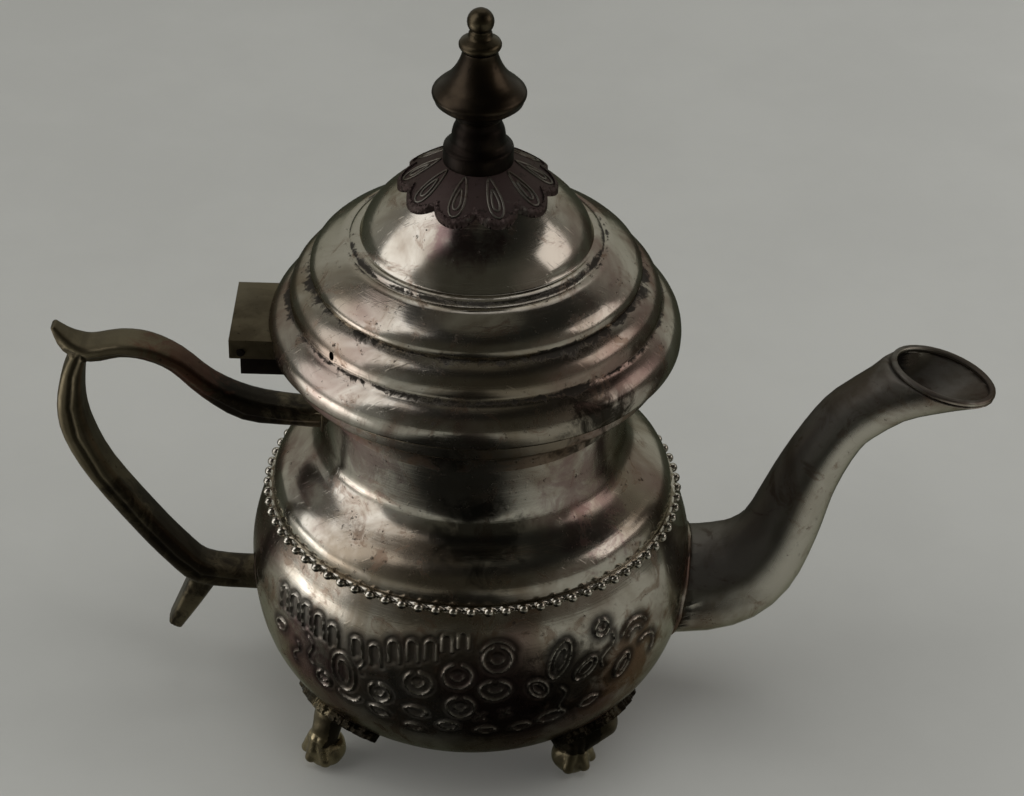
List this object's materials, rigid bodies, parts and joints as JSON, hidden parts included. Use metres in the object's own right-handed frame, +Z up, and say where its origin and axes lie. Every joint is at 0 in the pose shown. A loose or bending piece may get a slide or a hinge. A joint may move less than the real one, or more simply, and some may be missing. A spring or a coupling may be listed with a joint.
{
  "type": "footed hinged-lid serving pot",
  "caption": "Footed metal tea or coffee pot with a swan-neck spout, scroll handle, beaded seam and a domed lid that hinges back under a turned finial.",
  "frame": {"origin": "on the ground plane, at the middle of the overall box from handle to spout; the pot's own axis stands 13 mm towards the handle", "axes": "+Z up, +X along the spout, handle on -X, +Y to the side away from the front"},
  "size_m": [0.2461, 0.1188, 0.2129],
  "materials": {
    "silver_plate": "tarnished silver plate over brass, worn satin",
    "dark_silver": "dark tarnish in the recesses",
    "aged_brass": "old cast brass, dull olive brown",
    "dark_copper": "dark copper tone, worn",
    "blackened_brass": "almost black patina",
    "worn_brass": "brass rubbed bright"
  },
  "bodies": {
    "pot": {"bowl": "silver_plate", "shoulder": "silver_plate", "bead_ring": "silver_plate", "neck_collar": "silver_plate", "foot_front_left": "aged_brass", "foot_front_right": "aged_brass", "foot_rear_left": "aged_brass", "foot_rear_right": "aged_brass", "spout_tube": "silver_plate", "spout_lip": "silver_plate", "handle": "aged_brass", "hinge_body_leaf": "aged_brass", "hinge_pin": "aged_brass"},
    "lid": {"hinge_lid_leaf": "aged_brass", "lid_shell": "silver_plate", "lid_bezel": "silver_plate", "rosette": "dark_silver", "finial_foot": "blackened_brass", "finial_bulb": "dark_copper", "finial_tip": "worn_brass", "finial_stud": "worn_brass", "finial_washer": "worn_brass", "finial_nut": "worn_brass"}
  },
  "joints": [
    {"name": "lid_hinge", "type": "hinge", "parent": "pot", "child": "lid", "pos_m": [-0.0723, 0, 0.1209], "axis": [0, -1, 0], "range_deg": [0, 105]}
  ]
}
